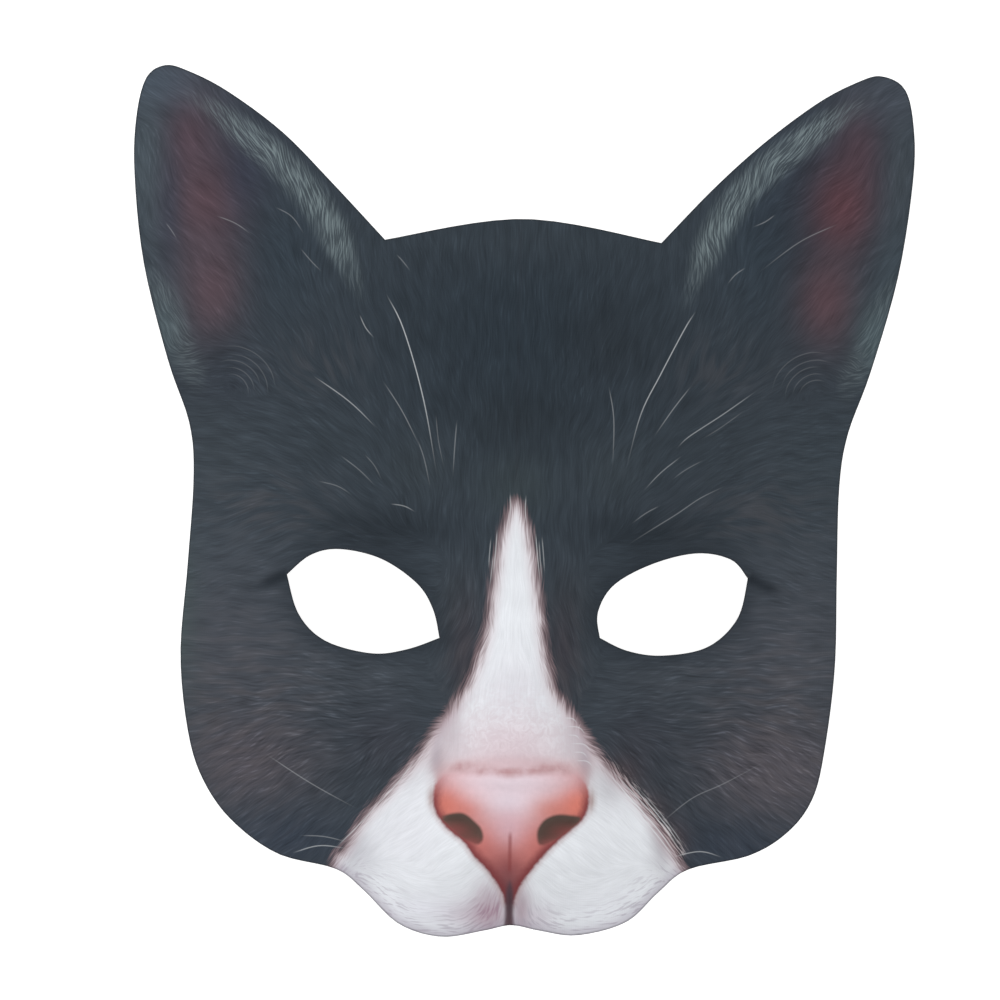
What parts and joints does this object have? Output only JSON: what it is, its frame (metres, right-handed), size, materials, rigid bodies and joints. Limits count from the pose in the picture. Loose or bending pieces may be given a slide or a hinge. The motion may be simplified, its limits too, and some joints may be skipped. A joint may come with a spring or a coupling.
{
  "type": "cat half mask",
  "caption": "Half mask formed as a cat's face, with upright ears, open eyes and a raised nose and muzzle, in printed cloth over foam.",
  "frame": {"origin": "on the surface that the mask lies on, under the middle of its outline", "axes": "+X to the right as the face is looked at, +Y from the muzzle to the ears, +Z out of the face"},
  "size_m": [0.1954, 0.2165, 0.0657],
  "materials": {
    "printed_foam": "matte printed cloth bonded to foam"
  },
  "bodies": {
    "root": {"mask_shell": "printed_foam"}
  },
  "joints": []
}
